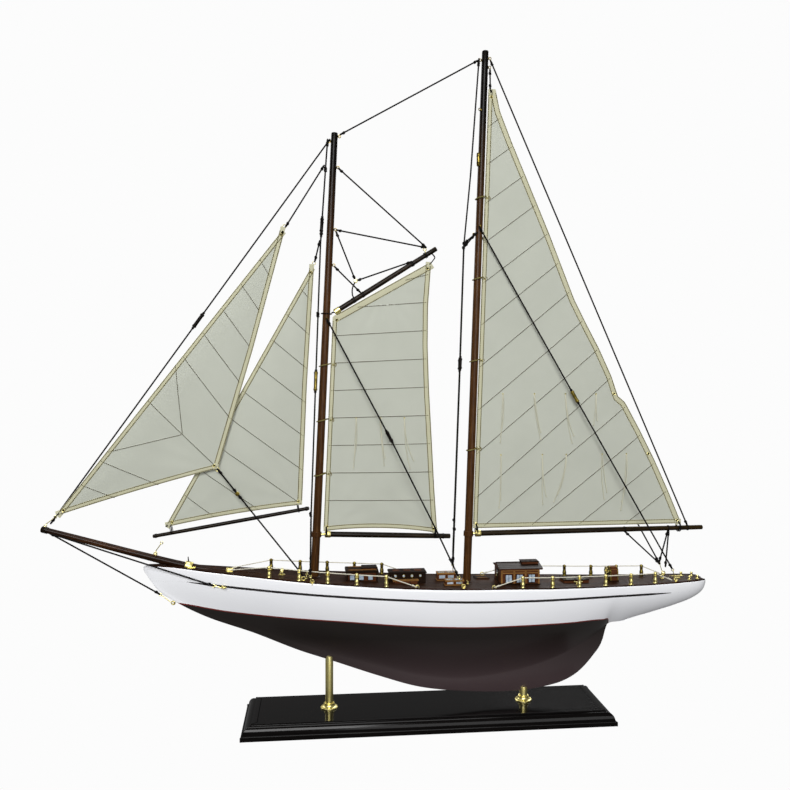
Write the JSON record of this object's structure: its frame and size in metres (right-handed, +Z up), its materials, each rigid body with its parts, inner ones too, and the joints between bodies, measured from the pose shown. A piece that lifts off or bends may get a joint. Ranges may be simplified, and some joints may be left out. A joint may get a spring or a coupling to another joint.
{
  "type": "model sailing ship",
  "caption": "Display model of a two-masted gaff schooner: carved hull on brass pedestals and a moulded plinth, cloth sails on turning booms, cord rigging, brass deck fittings.",
  "frame": {"origin": "middle of the plinth's underside", "axes": "+X towards the stern, -Y to port, +Z up"},
  "size_m": [0.6686, 0.081, 0.6746],
  "materials": {
    "plinth_lacquer": "gloss black lacquer on wood",
    "brass": "polished, turned",
    "steel": "bright zinc",
    "hull_paint": "satin white over near-black brown below the waterline, dark stripe",
    "deck_wood": "oiled mahogany",
    "mast_wood": "dark stained, satin",
    "spar_wood": "dark stained, satin",
    "house_wood": "satin mahogany",
    "light_wood": "satin",
    "window_glass": "pale blue enamel pane",
    "dark_glass": "dark glossy pane",
    "rigging_cord": "black laid cord",
    "pale_cord": "natural laid cord",
    "block_wood": "dark, satin",
    "sailcloth": "aged cotton"
  },
  "bodies": {
    "ship": {"base_plinth": "plinth_lacquer", "pedestal_posts": "brass", "pedestal_collars": "brass", "pedestal_screws": "steel", "hull": "hull_paint", "deck": "deck_wood", "foremast": "mast_wood", "mainmast": "mast_wood", "bowsprit": "spar_wood", "bowsprit_bands": "brass", "companion_house": "house_wood", "companion_roof": "house_wood", "companion_windows": "window_glass", "trunk_cabin": "house_wood", "trunk_roof": "house_wood", "trunk_portholes": "window_glass", "skylights": "light_wood", "skylight_glass": "window_glass", "cargo_hatch": "house_wood", "deckhouse": "house_wood", "deckhouse_roof": "house_wood", "deckhouse_windows": "window_glass", "deckhouse_hatch": "house_wood", "aft_skylight": "dark_glass", "helm_box": "house_wood", "windlass": "brass", "stanchions": "brass", "lifelines": "pale_cord", "deck_cleats": "brass", "stern_chocks": "brass", "mast_eyes": "brass", "deck_eyes": "brass", "rigging_hooks": "brass", "bowsprit_stays": "rigging_cord", "forestay": "rigging_cord", "jib_sail": "sailcloth", "headsail_halyards": "rigging_cord", "headsail_sheets": "rigging_cord", "fore_shrouds": "rigging_cord", "spring_stay": "rigging_cord", "fore_runners": "rigging_cord", "main_shrouds": "rigging_cord", "main_runners": "rigging_cord", "rigging_blocks": "block_wood"},
    "staysail_rig": {"club_boom": "spar_wood", "staysail": "sailcloth"},
    "foresail_rig": {"fore_boom": "spar_wood", "fore_gooseneck": "brass", "gaff": "spar_wood", "foresail": "sailcloth", "fore_hoops": "rigging_cord", "peak_halyards": "rigging_cord"},
    "mainsail_rig": {"main_boom": "spar_wood", "main_gooseneck": "brass", "mainsail": "sailcloth", "main_hoops": "rigging_cord", "topping_lift": "rigging_cord", "mainsheet": "rigging_cord"},
    "helm": {"helm_wheel": "brass"}
  },
  "joints": [
    {"name": "mainsail_swing", "type": "hinge", "parent": "ship", "child": "mainsail_rig", "pos_m": [0.04191, 0, 0.1846], "axis": [0.0357, 0, 0.9994], "range_deg": [-3, 3]},
    {"name": "foresail_swing", "type": "hinge", "parent": "ship", "child": "foresail_rig", "pos_m": [-0.11146, 0, 0.1865], "axis": [0.0451, 0, 0.999], "range_deg": [-8, 8]},
    {"name": "staysail_swing", "type": "hinge", "parent": "ship", "child": "staysail_rig", "pos_m": [-0.2703, 0, 0.1873], "axis": [0.5057, 0, 0.8627], "range_deg": [-5, 5]},
    {"name": "helm_spin", "type": "hinge", "parent": "ship", "child": "helm", "pos_m": [0.186, 0, 0.143], "axis": [1, 0, 0], "continuous": true}
  ]
}
